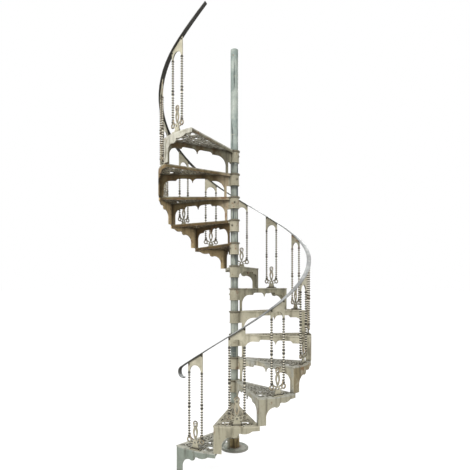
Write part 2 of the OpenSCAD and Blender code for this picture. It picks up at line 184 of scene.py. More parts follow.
# painted light: a brown lightened for skirts, legs and inner faces that lie in shade
BROWN_WITH_PAINTED_LIGHT = "#cdb68c"
WARM_TAN = "#ad9e85"
SOCKET_OLIVE = "#968863"
SOCKET_BROWN = "#806c48"
DEEP_BROWN = "#5c4a2f"
SHADE_BROWN = "#45361f"
DARK_BROWN = "#372b19"
BLACK_BROWN = "#2a2114"
RUST = "#745031"
# dark grime, and also painted shade in corners, hollows and flutes
GRIME_AND_SHADE = "#40382a"
# near black, and also painted shade and painted shadow
SOOT_AND_SHADE = "#211e18"
POLE_PALE = "#adb4ab"
POLE_TEAL = "#838f89"
POLE_WASH = "#a5a798"
POLE_DARK = "#3f4745"
STEEL_BRIGHT = "#abadac"
STEEL_DULL = "#858685"
# painted shade on the handrail's sides
STEEL_SHADE = "#45433c"

# Treads that share a look: their numbers, then the values that aged_paint takes
TREAD_LOOKS = {
    "weathered": ([1], dict(
        main=DARK_GREEN_GREY, light=PALE_GREY, under=DARK_BROWN, outer=GREEN_GREY,
        inside=BEIGE, lip=PALE_GREY, inner=BEIGE, rust_level=0.62)),
    "beige": ([2, 6], dict(
        main=BEIGE, light=CREAM, under=DARK_BROWN, outer=BEIGE,
        inside=CREAM, lip=CREAM, inner=CREAM, rust_level=0.64)),
    "mottled": ([3], dict(
        main=BEIGE, light=PALE_GREY, under=DARK_BROWN, outer=BEIGE,
        inside=BEIGE, lip=PALE_GREY, inner=CREAM, rust_level=0.60)),
    "stained": ([4], dict(
        main=CREAM, light=PALE_GREY, under=DARK_BROWN, outer=STAIN_BROWN,
        inside=CREAM, lip=PALE_GREY, inner=CREAM, rust_level=0.57)),
    "cream": ([5], dict(
        main=BRIGHT_CREAM, light=BEIGE, under=DARK_BROWN, outer=BRIGHT,
        inside=CREAM_WITH_PAINTED_LIGHT, lip=CREAM, inner=CREAM, rust_level=0.63)),
    "dull": ([7, 8], dict(
        main=DULL_FACE, light=DULL_LIGHT, under=DARK_BROWN, outer=DULL_FACE,
        inside=DULL_LIGHT, lip=DULL_LIP, inner=DULL_LIGHT, rust_level=0.60)),
    "shaded": ([9], dict(
        main=SHADE_BROWN, light=DEEP_BROWN, under=BLACK_BROWN, outer=SKIRT_BROWN,
        inside=BROWN_WITH_PAINTED_LIGHT, lip=OLIVE_BROWN, inner=SHADE_BROWN, rust_level=0.58)),
    "deep": ([10], dict(
        main=SHADE_BROWN, light=DEEP_BROWN, under=BLACK_BROWN, outer=BROWN_WITH_PAINTED_LIGHT,
        inside=BROWN_WITH_PAINTED_LIGHT, lip=OLIVE_BROWN, inner=DEEP_BROWN, rust_level=0.58)),
    "umber": ([11], dict(
        main=DEEP_BROWN, light=OLIVE_BROWN, under=BLACK_BROWN, outer=BROWN_WITH_PAINTED_LIGHT,
        inside=BROWN_WITH_PAINTED_LIGHT, lip=DULL_FACE, inner=WARM_TAN, rust_level=0.58)),
    "brown": ([12], dict(
        main=DEEP_BROWN, light=OLIVE_BROWN, under=BLACK_BROWN, outer=SKIRT_BROWN,
        inside=SKIRT_BROWN, lip=BEIGE, inner=WARM_TAN, rust_level=0.58)),
    "grey": ([13], dict(
        main=DEEP_BROWN, light=OLIVE_GREY, under=DARK_BROWN, outer=PALE_GREY_AND_LIT_TOP,
        inside=DULL_LIGHT, lip=PALE_GREY_AND_LIT_TOP, inner=DULL_FACE, rust_level=0.60)),
}

# Balusters that share a look: their numbers, then the values that bead_paint takes
BALUSTER_LOOKS = {
    "cream": ([1, 2, 3, 4, 7, 8, 9, 10, 11, 13], dict(
        main=CREAM, light=BEIGE, deep=SOOT_AND_SHADE, rust_level=0.62)),
    "olive": ([5, 6, 12], dict(
        main=BEIGE, light=OLIVE_GREY, deep=DARK_BROWN, rust_level=0.56)),
}


def colour(code):
    """A screen colour such as #c2b9a0 as the linear colour that the shaders take."""
    levels = [int(code[i:i + 2], 16) / 255 for i in (1, 3, 5)]
    return [c / 12.92 if c <= 0.04045 else ((c + 0.055) / 1.055) ** 2.4 for c in levels] + [1.0]


def spot(bearing, radius, height, aside=0.0):
    """A frame on the stair: X outwards, Y along the stair's turn and Z up."""
    turned = Matrix.Rotation(math.radians(bearing), 4, "Z")
    return turned @ Matrix.Translation((radius, aside, height))


def tread_bearing(k):
    """Bearing of the front edge of tread k."""
    return FIRST_BEARING + (k - 1) * TURN


def baluster_bearing(k):
    """Bearing of the middle of baluster k."""
    return tread_bearing(k) + TURN / 2 + BALUSTER_SHIFT


class Graph:
    """The nodes of one material, with short calls for the ones that repeat."""

    def __init__(self, name):
        self.material = bpy.data.materials.new(name)
        self.material.use_nodes = True
        self.tree = self.material.node_tree
        self.tree.nodes.clear()
        self.object_point = self.add("ShaderNodeTexCoord").outputs["Object"]
        self.geometry = self.add("ShaderNodeNewGeometry")

    def add(self, kind, inputs=None, **settings):
        node = self.tree.nodes.new(kind)
        for key, value in settings.items():
            setattr(node, key, value)
        for socket, value in (inputs or {}).items():
            self.put(node.inputs[socket], value)
        return node

    def put(self, socket, value):
        """Links another node's output to a socket, or sets a number or a screen colour."""
        if isinstance(value, bpy.types.NodeSocket):
            self.tree.links.new(value, socket)
        elif isinstance(value, str):
            socket.default_value = colour(value)
        else:
            socket.default_value = value

    def noise(self, scale, detail=4.0, rough=0.55, stretch=(1, 1, 1), shift=0.0, twist=0.0):
        """Cloudy noise from 0 to 1; scale is in blotches a metre."""
        point = self.add("ShaderNodeMapping", {
            "Vector": self.object_point,
            "Scale": stretch,
            "Location": (shift, shift, shift),
        })
        node = self.add("ShaderNodeTexNoise", {
            "Vector": point.outputs[0],
            "Scale": scale,
            "Detail": detail,
            "Roughness": rough,
            "Distortion": twist,
        })
        return node.outputs["Fac"]

    def fade(self, value, low, high, start=0.0, end=1.0):
        """Goes smoothly from start to end as value goes from low to high."""
        node = self.add("ShaderNodeMapRange", {
            "Value": value,
            "From Min": low,
            "From Max": high,
            "To Min": start,
            "To Max": end,
        }, interpolation_type="SMOOTHSTEP")
        return node.outputs["Result"]

    def math(self, operation, a, b=0.0):
        node = self.add("ShaderNodeMath", {0: a, 1: b}, operation=operation)
        return node.outputs[0]

    def mix(self, share, a, b):
        node = self.add("ShaderNodeMix", {0: share, 6: a, 7: b}, data_type="RGBA")
        return node.outputs[2]

    def layer(self, base, mask, share, over):
        """The base with a share of another colour over it where the mask is 1."""
        return self.mix(self.math("MULTIPLY", mask, share), base, over)

    def upward(self):
        """The height of the surface's normal: 1 on a top, -1 on an underside."""
        split = self.add("ShaderNodeSeparateXYZ", {0: self.geometry.outputs["Normal"]})
        return split.outputs["Z"]

    def height(self):
        """Height above the floor."""
        split = self.add("ShaderNodeSeparateXYZ", {0: self.object_point})
        return split.outputs["Z"]

    def radius(self):
        """Distance from the stair's axis."""
        flat = self.add("ShaderNodeVectorMath", {
            0: self.object_point,
            1: (1, 1, 0),
        }, operation="MULTIPLY")
        node = self.add("ShaderNodeVectorMath", {0: flat.outputs[0]}, operation="LENGTH")
        return node.outputs["Value"]

    def off_rod(self, k):
        """Distance from the nearer rod of baluster k, and height above its tread."""
        local = self.add("ShaderNodeMapping", {
            "Vector": self.object_point,
            "Rotation": (0, 0, -math.radians(baluster_bearing(k))),
            "Location": (-BALUSTER_R, 0, -k * RISE),
        })
        split = self.add("ShaderNodeSeparateXYZ", {0: local.outputs[0]})
        beside = self.math("ABSOLUTE", split.outputs["Y"])
        aside = self.math("SUBTRACT", beside, ROD_GAP / 2)
        flat = self.add("ShaderNodeCombineXYZ", {0: split.outputs["X"], 1: aside})
        length = self.add("ShaderNodeVectorMath", {0: flat.outputs[0]}, operation="LENGTH")
        return length.outputs["Value"], split.outputs["Z"]

    def flutes(self, count):
        """Upright stripes round the stair's axis, 1 between two flutes."""
        split = self.add("ShaderNodeSeparateXYZ", {0: self.object_point})
        bearing = self.math("ARCTAN2", split.outputs["Y"], split.outputs["X"])
        return self.math("SINE", self.math("MULTIPLY", bearing, float(count)))

    def between(self, value, low, high, soft=SOFT):
        """1 between two limits, 0 beyond them."""
        above = self.fade(value, low - soft, low + soft)
        below = self.fade(value, high + soft, high - soft)
        return self.math("MULTIPLY", above, below)

    def edges(self, width):
        """1 along sharp edges, 0 on flat and round faces."""
        bevel = self.add("ShaderNodeBevel", {"Radius": width}, samples=4)
        dot = self.add("ShaderNodeVectorMath", {
            0: bevel.outputs[0],
            1: self.geometry.outputs["Normal"],
        }, operation="DOT_PRODUCT")
        return self.fade(dot.outputs["Value"], 0.995, 0.82)

    def crevices(self, reach, low=0.35, high=0.95):
        """1 deep in a crevice, 0 in the open, from ambient occlusion; the paints lay painted
        shade with it.
        """
        node = self.add("ShaderNodeAmbientOcclusion", {"Distance": reach}, samples=6)
        return self.fade(node.outputs["AO"], high, low)

    def bump(self, height, strength, distance):
        node = self.add("ShaderNodeBump", {
            "Height": height,
            "Strength": strength,
            "Distance": distance,
        })
        return node.outputs[0]

    def finish(self, base, roughness, normal, metallic=0.0, specular=0.35):
        shader = self.add("ShaderNodeBsdfPrincipled", {
            "Base Color": base,
            "Roughness": roughness,
            "Metallic": metallic,
            "Specular IOR Level": specular,
            "Normal": normal,
        })
        self.add("ShaderNodeOutputMaterial", {"Surface": shader.outputs[0]})
        return self.material


def part_layers(g, cloud, radius, step_z, upward, look):
    """The colours of a tread's parts: riser, skirt and lip, with a painted highlight on the
    plate's top, painted light on the skirt's inner face and painted shade on the underside.
    """
    base = g.mix(g.fade(cloud, 0.38, 0.62), look["main"], look["light"])
    skirt = g.mix(g.fade(cloud, 0.48, 0.72), look["outer"], look["main"])
    inner_r = STAIR_R - SKIRT_T
    on_skirt = g.fade(radius, inner_r - 4 * SOFT, inner_r)
    base = g.layer(base, on_skirt, 0.85, skirt)
    # painted light: the skirt's inner face, in shade under the treads, is given a lighter
    # colour
    inner_face = g.between(radius, inner_r - 1.5 * SOFT, inner_r + 1.5 * SOFT)
    base = g.layer(base, inner_face, 0.85, look["inside"])
    near_hub = g.fade(radius, PAST_HUB_R, NEAR_HUB_R, end=0.75)
    base = g.mix(near_hub, base, look["inner"])
    # painted highlight: tops are made paler
    top = g.fade(upward, 0.5, 0.9)
    base = g.layer(base, top, 0.6, PALE_GREY_AND_LIT_TOP)
    # painted shade: undersides are darkened
    below = g.fade(upward, -0.35, -0.75)
    base = g.layer(base, below, 0.9, look["under"])
    plate_z = RISE - PLATE_T
    in_lip = g.fade(step_z, plate_z - 4 * SOFT, plate_z)
    at_lip = g.math("MULTIPLY", in_lip, g.fade(cloud, 0.3, 0.5))
    return g.layer(base, at_lip, 0.8, look["lip"])


def hub_layers(g, base, cloud, radius, step_z):
    """A pale hub with painted shade in its flutes, painted shadow under its flange and a dark
    rim; gives the flutes' mask too.
    """
    on_hub = g.fade(radius, HUB_ZONE_R + 2 * SOFT, HUB_ZONE_R - 2 * SOFT)
    hub = g.mix(g.fade(cloud, 0.35, 0.65), CREAM, BEIGE)
    base = g.layer(base, on_hub, 0.9, hub)
    flange_z = RISE - HUB_FLANGE_T
    fluted = g.between(step_z, RISE - HUB_H + HUB_FOOT_H, flange_z - 2 * SOFT)
    body = g.math("MULTIPLY", on_hub, fluted)
    # painted shade in the flutes' grooves
    flutes = g.math("MULTIPLY", body, g.fade(g.flutes(HUB_FLUTES), 0.1, 0.95))
    base = g.layer(base, flutes, 0.5, GRIME_AND_SHADE)
    # painted shadow under the hub's flange
    under_flange = g.between(step_z, flange_z - 6 * SOFT, flange_z - SOFT)
    flange_shadow = g.math("MULTIPLY", on_hub, under_flange)
    base = g.layer(base, flange_shadow, 0.6, SOOT_AND_SHADE)
    flange_r = HUB_R + HUB_FLANGE_OUT
    at_rim = g.between(radius, flange_r - 0.8 * SOFT, flange_r + 0.8 * SOFT, 0.4 * SOFT)
    rim = g.math("MULTIPLY", at_rim, g.fade(step_z, flange_z - 2 * SOFT, flange_z + SOFT))
    return g.layer(base, rim, 0.75, GRIME_AND_SHADE), flutes


def aged_paint(name, rust_level, seed, **look):
    """Old paint over cast iron: blotches, runs, rust, worn edges, painted shade in corners and
    on undersides, and a painted highlight on tops.

    A look's main and light are the colours of the standing faces, under the painted shade
    of the undersides and of the walls of the plate's holes, outer of the skirt, inside the
    painted light of the skirt's inner face, lip of the edge of the tread's plate and inner
    of the riser near the hub. A lower rust_level gives more rust.
    """
    g = Graph(name)
    cloud = g.noise(7.0, detail=5.0, rough=0.6, shift=seed)
    fine = g.noise(70.0, detail=4.0, rough=0.6, shift=seed + 3.0)
    runs = g.noise(26.0, detail=3.0, rough=0.5, stretch=(1, 1, 0.12), shift=seed + 7.0)
    patches = g.noise(16.0, detail=8.0, rough=0.65, shift=seed + 11.0, twist=0.6)
    radius = g.radius()
    upward = g.upward()
    step_z = g.math("MODULO", g.height(), RISE)

    base = part_layers(g, cloud, radius, step_z, upward, look)
    base = g.mix(g.fade(runs, 0.46, 0.72, end=0.6), base, GRIME_AND_SHADE)
    base, flutes = hub_layers(g, base, cloud, radius, step_z)

    base = g.mix(g.fade(fine, 0.62, 0.80, end=0.45), base, BRIGHT)
    base = g.mix(g.fade(fine, 0.42, 0.28, end=0.5), base, GRIME_AND_SHADE)
    rusted = g.fade(patches, rust_level, rust_level + 0.06)
    base = g.layer(base, rusted, 0.75, RUST)
    worn = g.math("MULTIPLY", g.edges(width=0.004), g.fade(patches, 0.40, 0.60))
    worn = g.math("MULTIPLY", worn, g.fade(upward, -0.6, -0.1))
    base = g.layer(base, worn, 0.55, BRIGHT)
    # painted shade in corners, from ambient occlusion
    base = g.layer(base, g.crevices(reach=0.045), 0.8, GRIME_AND_SHADE)
    # painted shade on the walls of the plate's openwork, from ambient occlusion
    upright = g.fade(g.math("ABSOLUTE", upward), 0.6, 0.3)
    plate_z = RISE - PLATE_T
    in_plate = g.fade(step_z, plate_z - 0.4 * SOFT, plate_z + 0.2 * SOFT)
    wall = g.math("MULTIPLY", upright, in_plate)
    holes = g.math("MULTIPLY", wall, g.crevices(reach=0.03, low=0.86, high=0.97))
    base = g.layer(base, holes, 0.95, look["under"])

    relief = g.math("ADD", g.math("MULTIPLY", fine, 0.5), patches)
    relief = g.math("SUBTRACT", relief, g.math("MULTIPLY", flutes, 0.8))
    normal = g.bump(relief, strength=0.45, distance=0.0016)
    return g.finish(base, g.fade(cloud, 0.3, 0.7, start=0.6, end=0.82), normal, specular=0.22)


def bead_paint(name, main, light, deep, rust_level=0.60, seed=0.0, k=None):
    """Paint on a baluster, with painted shade on its edges and in its grooves and recesses;
    where k is its number, its rods get necks of pale paint lightened as painted light, and dark
    knops.
    """
    g = Graph(name)
    cloud = g.noise(11.0, detail=5.0, rough=0.6, shift=seed)
    fine = g.noise(120.0, detail=3.0, rough=0.6, shift=seed + 2.0)
    patches = g.noise(22.0, detail=8.0, rough=0.65, shift=seed + 5.0, twist=0.5)
    base = g.mix(g.fade(cloud, 0.36, 0.64), main, light)
    base = g.mix(g.fade(fine, 0.55, 0.75, end=0.6), base, BRIGHT)
    rusted = g.fade(patches, rust_level, rust_level + 0.05)
    base = g.layer(base, rusted, 0.8, RUST)
    # painted shade along the edges, as on rounded bars
    base = g.layer(base, g.edges(width=0.004), 0.45, deep)
    # painted shade in the grooves between beads and in recesses
    tilt = g.math("ABSOLUTE", g.upward())
    groove = g.math("MULTIPLY", g.fade(tilt, 0.15, 0.50), g.fade(tilt, 0.99, 0.97))
    recess_shade = g.crevices(reach=0.02, low=0.55, high=0.96)
    base = g.layer(base, g.math("MAXIMUM", groove, recess_shade), 0.95, deep)
    if k is not None:
        distance, height = g.off_rod(k)
        along_rod = g.between(height, ROD_FOOT_Z - ROD_MARGIN, COLLAR_Z + ROD_MARGIN, 2 * SOFT)
        # pale paint on the necks, lightened as painted light against the beads' shade
        neck = g.math("MULTIPLY", g.fade(distance, NECK_OUTER_R, NECK_INNER_R), along_rod)
        base = g.layer(base, neck, 0.95, NECK_PALE)
        on_knop = g.between(distance, KNOP_INNER_R, KNOP_OUTER_R, 0.4 * SOFT)
        knop = g.math("MULTIPLY", on_knop, along_rod)
        base = g.layer(base, knop, 0.9, deep)
    relief = g.math("ADD", g.math("MULTIPLY", fine, 0.4), patches)
    normal = g.bump(relief, strength=0.4, distance=0.001)
    return g.finish(base, g.fade(cloud, 0.3, 0.7, start=0.5, end=0.72), normal)


def worn_and_shaded_bead_paint(name, main, light, deep):
    """Paint on the bold beads: it is left on top of each and darker below, partly worn to dark
    iron and partly painted shade.
    """
    g = Graph(name)
    cloud = g.noise(14.0, detail=5.0, rough=0.6)
    base = g.mix(g.fade(cloud, 0.40, 0.60), main, light)
    # darker away from each bead's top: partly worn paint, partly painted shade
    base = g.mix(g.fade(g.upward(), 0.98, 0.62), base, deep)
    normal = g.bump(cloud, strength=0.3, distance=0.0006)
    return g.finish(base, 0.7, normal, specular=0.2)


def pole_paint():
    """Blue-green paint on the tube, with long dark runs, level scuffs, painted shade among the
    hubs high up and painted shadow under each hub.
    """
    g = Graph("pole_paint")
    cloud = g.noise(6.0, detail=5.0, rough=0.6)
    runs = g.noise(34.0, detail=3.0, rough=0.5, stretch=(1, 1, 0.07), shift=4.0)
    thin_runs = g.noise(90.0, detail=2.0, rough=0.5, stretch=(1, 1, 0.10), shift=9.0)
    scuffs = g.noise(30.0, detail=4.0, rough=0.6, stretch=(0.25, 0.25, 3.0), shift=13.0)
    patches = g.noise(18.0, detail=8.0, rough=0.65, shift=17.0, twist=0.7)
    base = g.mix(g.fade(cloud, 0.35, 0.65), POLE_PALE, POLE_TEAL)
    wash_z = TREADS * RISE + POLE_WASH_OVER
    among_hubs = g.fade(g.height(), wash_z, wash_z - POLE_WASH_FADE)
    base = g.layer(base, among_hubs, 0.5, POLE_WASH)
    base = g.mix(g.fade(runs, 0.56, 0.64, end=0.85), base, POLE_DARK)
    going_up = g.fade(g.height(), POLE_SHADE_LOW, POLE_SHADE_HIGH, start=0.2)
    shaded = g.math("MULTIPLY", among_hubs, going_up)
    base = g.layer(base, shaded, 0.3, POLE_DARK)
    more_runs = g.fade(runs, 0.45, 0.54, end=0.9)
    base = g.layer(base, shaded, more_runs, POLE_DARK)
    base = g.mix(g.fade(thin_runs, 0.60, 0.75, end=0.5), base, POLE_DARK)
    base = g.mix(g.fade(scuffs, 0.60, 0.72, end=0.55), base, CREAM)
    base = g.layer(base, g.fade(patches, 0.64, 0.68), 0.6, RUST)
    # painted shadow under each hub, in the shaded zone
    step_z = g.math("MODULO", g.height(), RISE)
    hub_foot_z = RISE - HUB_H
    under_hub = g.fade(step_z, hub_foot_z - HUB_SHADOW_LOW, hub_foot_z - HUB_SHADOW_HIGH)
    hub_shadow = g.math("MULTIPLY", g.math("MULTIPLY", under_hub, shaded), g.fade(cloud, 0.34, 0.48))
    base = g.layer(base, hub_shadow, 0.75, SOOT_AND_SHADE)
    # painted shade in corners, from ambient occlusion
    base = g.layer(base, g.crevices(reach=0.05), 0.6, GRIME_AND_SHADE)
    relief = g.math("ADD", patches, g.math("MULTIPLY", runs, 0.5))
    normal = g.bump(relief, strength=0.3, distance=0.0012)
    return g.finish(base, g.fade(cloud, 0.3, 0.7, start=0.45, end=0.65), normal)


def socket_rust():
    """Brown rust with dark runs on the socket round the pole's foot."""
    g = Graph("socket_rust")
    cloud = g.noise(14.0, detail=6.0, rough=0.65)
    runs = g.noise(30.0, detail=3.0, rough=0.5, stretch=(1, 1, 0.12), shift=3.0)
    base = g.mix(g.fade(cloud, 0.35, 0.65), SOCKET_OLIVE, SOCKET_BROWN)
    base = g.mix(g.fade(runs, 0.52, 0.66, end=0.75), base, DARK_BROWN)
    base = g.mix(g.fade(cloud, 0.58, 0.70, end=0.35), base, BEIGE)
    # painted shade in corners, from ambient occlusion
    base = g.layer(base, g.crevices(reach=0.04), 0.3, DARK_BROWN)
    normal = g.bump(cloud, strength=0.5, distance=0.0015)
    return g.finish(base, 0.8, normal)


def plate_paint():
    """Pale grey paint on the floor plate, stained near the socket and at the rim."""
    g = Graph("plate_paint")
    cloud = g.noise(16.0, detail=6.0, rough=0.6)
    fine = g.noise(90.0, detail=4.0, rough=0.6, shift=5.0)
    base = g.mix(g.fade(cloud, 0.35, 0.65), GREEN_GREY, PALE_GREY)
    base = g.mix(g.fade(fine, 0.58, 0.75, end=0.6), base, BEIGE)
    stain = g.fade(g.radius(), FLOOR_STAIN_OUTER_R, FLOOR_STAIN_INNER_R, end=0.6)
    base = g.mix(stain, base, RUST)
    base = g.layer(base, g.edges(width=0.003), 0.6, BRIGHT)
    base = g.mix(g.fade(g.upward(), 0.8, 0.3, end=0.8), base, PALE_GREY)
    # painted shade in corners, from ambient occlusion
    base = g.layer(base, g.crevices(reach=0.03), 0.6, GRIME_AND_SHADE)
    normal = g.bump(g.math("ADD", cloud, fine), strength=0.35, distance=0.001)
    return g.finish(base, 0.66, normal)


def rail_steel():
    """A steel flat: worn bright on top, with painted shade that dulls its sides and darkens it
    below.
    """
    g = Graph("rail_steel")
    cloud = g.noise(9.0, detail=5.0, rough=0.6)
    brushed = g.noise(220.0, detail=2.0, rough=0.5, stretch=(1, 1, 4.0), shift=6.0)
    patches = g.noise(40.0, detail=7.0, rough=0.65, shift=8.0)
    upward = g.upward()
    base = g.mix(g.fade(cloud, 0.35, 0.65), STEEL_DULL, STEEL_BRIGHT)
    # painted shade: the sides are darker and the underside darker still
    base = g.mix(g.fade(upward, 0.75, 0.2, end=0.75), base, STEEL_SHADE)
    base = g.mix(g.fade(upward, 0.0, -0.6, end=0.75), base, SOOT_AND_SHADE)
    base = g.mix(g.fade(patches, 0.60, 0.68, end=0.55), base, GRIME_AND_SHADE)
    metallic = g.fade(upward, 0.1, 0.8, end=0.45)
    normal = g.bump(g.math("ADD", brushed, patches), strength=0.15, distance=0.0006)
    roughness = g.fade(upward, 0.6, -0.4, start=0.42, end=0.8)
    return g.finish(base, roughness, normal, metallic, specular=0.25)


def dark_steel():
    """Old screws and bolts."""
    g = Graph("dark_steel")
    cloud = g.noise(160.0, detail=4.0, rough=0.6)
    base = g.mix(g.fade(cloud, 0.4, 0.65), SOOT_AND_SHADE, DARK_BROWN)
    normal = g.bump(cloud, strength=0.3, distance=0.0004)
    return g.finish(base, 0.5, normal, metallic=0.5)


def round_angles(count):
    """Angles evenly round a circle, from 0 on."""
    return [2 * math.pi * i / count for i in range(count)]


def arc(middle, radius, start, end, steps):
    """Points on an arc, from start to end in degrees."""
    points = []
    for i in range(steps + 1):
        a = math.radians(start + (end - start) * i / steps)
        points.append((middle[0] + radius * math.cos(a), middle[1] + radius * math.sin(a)))
    return points


def join_rings(mesh, low, high):
    """A band of faces between two rings of corners."""
    for j in range(len(low)):
        n = (j + 1) % len(low)
        mesh.faces.new((low[j], low[n], high[n], high[j]))


def add_disc(mesh, frame_at, sides, radius, height, bevel):
    """A straight prism that stands on its frame's XY plane, with its top edge bevelled."""
    made = bmesh.ops.create_cone(
        mesh,
        cap_ends=True,
        segments=sides,
        radius1=radius,
        radius2=radius,
        depth=height,
        matrix=frame_at @ Matrix.Translation((0, 0, height / 2)),
    )
    up = (frame_at.to_3x3() @ Vector((0, 0, 1))).normalized()
    middle = frame_at @ Vector((0, 0, height / 2))
    top = [e for v in made["verts"] for e in v.link_edges
           if all((w.co - middle).dot(up) > 0 for w in e.verts)]
    bmesh.ops.bevel(mesh, geom=list(set(top)), offset=bevel, segments=2, affect="EDGES")


def add_bolt(mesh, frame_at, head_r):
    """A hexagon head on a round washer."""
    washer_r = 1.35 * head_r
    washer_h = 0.15 * head_r
    head_h = 0.65 * head_r
    add_disc(mesh, frame_at, ROUND_HEAD_SIDES, washer_r, washer_h, 0.05 * head_r)
    raised = frame_at @ Matrix.Translation((0, 0, washer_h))
    add_disc(mesh, raised, BOLT_HEAD_SIDES, head_r, head_h, 0.12 * head_r)


def add_slotted_screw(mesh, frame_at, head_r, out):
    """A round head with a slot: two half discs on a thin base."""
    base_h = 0.45 * out
    slot_w = 0.28 * head_r
    top_share = 0.94
    top_shift = 0.02 * head_r
    steps = 10
    add_disc(mesh, frame_at, ROUND_HEAD_SIDES, head_r, base_h, 0.04 * out)
    spread = math.degrees(math.acos(slot_w / 2 / head_r))
    points = arc((0, 0), head_r, -spread, spread, steps)
    for side in (0, 180):
        half = frame_at @ Matrix.Rotation(math.radians(side), 4, "Z")
        low = []
        high = []
        for x, y in points:
            low.append(mesh.verts.new(half @ Vector((x, y, base_h))))
            top = Vector((top_share * x + top_shift, top_share * y, out))
            high.append(mesh.verts.new(half @ top))
        mesh.faces.new(high)
        mesh.faces.new(list(reversed(low)))
        join_rings(mesh, low, high)


def add_bead(mesh, frame_at, radius, half_h, sides=12, levels=6):
    """A flattened round bead, with its middle where its frame is."""
    low = mesh.verts.new(frame_at @ Vector((0, 0, -half_h)))
    high = mesh.verts.new(frame_at @ Vector((0, 0, half_h)))
    rings = []
    for i in range(1, levels):
        up = math.pi * (i / levels - 0.5)
        out = radius * math.cos(up)
        ring = []
        for a in round_angles(sides):
            place = Vector((out * math.cos(a), out * math.sin(a), half_h * math.sin(up)))
            ring.append(mesh.verts.new(frame_at @ place))
        rings.append(ring)
    for j in range(sides):
        n = (j + 1) % sides
        mesh.faces.new((low, rings[0][n], rings[0][j]))
        mesh.faces.new((rings[-1][j], rings[-1][n], high))
    for below, above in zip(rings, rings[1:]):
        join_rings(mesh, below, above)


def add_bar(mesh, frame_at, path, radius, sides=8):
    """A round bar along a path in its frame's YZ plane, with closed and narrower ends."""
    rings = []
    for i, (y, z) in enumerate(path):
        back = path[max(i - 1, 0)]
        ahead = path[min(i + 1, len(path) - 1)]
        along = Vector((0, ahead[0] - back[0], ahead[1] - back[1])).normalized()
        across = Vector((0, -along.z, along.y))
        here_r = radius * (BAR_END_SHARE if i in (0, len(path) - 1) else 1)
        ring = []
        for a in round_angles(sides):
            offset = Vector((math.cos(a), 0, 0)) + across * math.sin(a)
            ring.append(mesh.verts.new(frame_at @ (Vector((0, y, z)) + offset * here_r)))
        rings.append(ring)
    for low, high in zip(rings, rings[1:]):
        join_rings(mesh, low, high)
    mesh.faces.new(rings[0])
    mesh.faces.new(list(reversed(rings[-1])))


def add_ring(mesh, frame_at, radius, bar_r, segments=18, sides=8):
    """A ring of round bar that lies in its frame's XY plane."""
    rings = []
    for a in round_angles(segments):
        ring = []
        for b in round_angles(sides):
            out = radius + bar_r * math.cos(b)
            place = Vector((out * math.cos(a), out * math.sin(a), bar_r * math.sin(b)))
            ring.append(mesh.verts.new(frame_at @ place))
        rings.append(ring)
    for i, ring in enumerate(rings):
        join_rings(mesh, ring, rings[(i + 1) % segments])


def finish_piece(name, mesh, material, smooth=False):
    """One object of all that was added, which rides on the stair's body."""
    bmesh.ops.recalc_face_normals(mesh, faces=mesh.faces)
    data = bpy.data.meshes.new(name)
    mesh.to_mesh(data)
    mesh.free()
    data.polygons.foreach_set("use_smooth", [smooth] * len(data.polygons))
    data.materials.append(material)
    piece = bpy.data.objects.new(name, data)
    bpy.context.scene.collection.objects.link(piece)
    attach(piece, "root")


def gap_places():
    """Middles and radii of the small rings of one plate, in the tread's own frame.

    The scrolls of a plate are circles on two lines that leave one apex, each in
    its own half of the wedge. A small ring fits between two of them and the edge
    of their half, and one more between the largest and the outer border.
    """
    turn = math.radians(TURN)
    quarter = turn / 4
    across = math.sin(quarter)
    apex_x = (FIELD_FRONT * math.cos(turn) + FIELD_REAR) / math.sin(turn)
    apex = Vector((apex_x, FIELD_FRONT))
    growth = (1 + across) / (1 - across)
    reach = STAIR_R - OUTER_BORDER - apex.x / math.cos(2 * quarter)
    largest = reach / (1 + across)
    on_edge = []
    for level in range(GAP_LEVELS):
        distance = largest / growth ** level
        on_line = distance * math.cos(quarter)
        big = math.sqrt(distance * across)
        small = big / math.sqrt(growth)
        root = on_line * (1 - 1 / growth) / (2 * (big + small))
        on_edge.append((on_line - 2 * big * root, root ** 2))
    on_edge.append((reach - CORNER_RING_R, CORNER_RING_R))
    places = []
    for middle in (quarter, 3 * quarter):
        for side in (-1, 1):
            edge = middle + side * quarter
            along = Vector((math.cos(edge), math.sin(edge)))
            inwards = Vector((math.sin(edge), -math.cos(edge))) * side
            for touch, r in on_edge:
                places.append((apex + along * touch + inwards * r, r))
    return places


def gap_rings(name, numbers, material):
    """The small rings in the plates of some treads."""
    mesh = bmesh.new()
    for k in numbers:
        for middle, r in gap_places():
            at = spot(tread_bearing(k), middle.x, k * RISE - PLATE_T / 2, middle.y)
            add_ring(mesh, at, r + RING_BITE - RING_BAR_R, RING_BAR_R)
    finish_piece(name, mesh, material, smooth=True)


def rod_beads(name, numbers, material):
    """The bold beads of some balusters' rods, one over each turned bead but at the knops."""
    mesh = bmesh.new()
    count = round((COLLAR_Z - ROD_FOOT_Z) / BEAD_PITCH)
    heights = [ROD_FOOT_Z + (COLLAR_Z - ROD_FOOT_Z) * i / count for i in range(1, count)]
    for k in numbers:
        for side in (-1, 1):
            for z in heights:
                if abs(z - KNOP_Z) > KNOP_REACH:
                    at = spot(baluster_bearing(k), BALUSTER_R, k * RISE + z, side * ROD_GAP / 2)
                    add_bead(mesh, at, BEAD_R, BEAD_HALF_H)
    finish_piece(name, mesh, material, smooth=True)


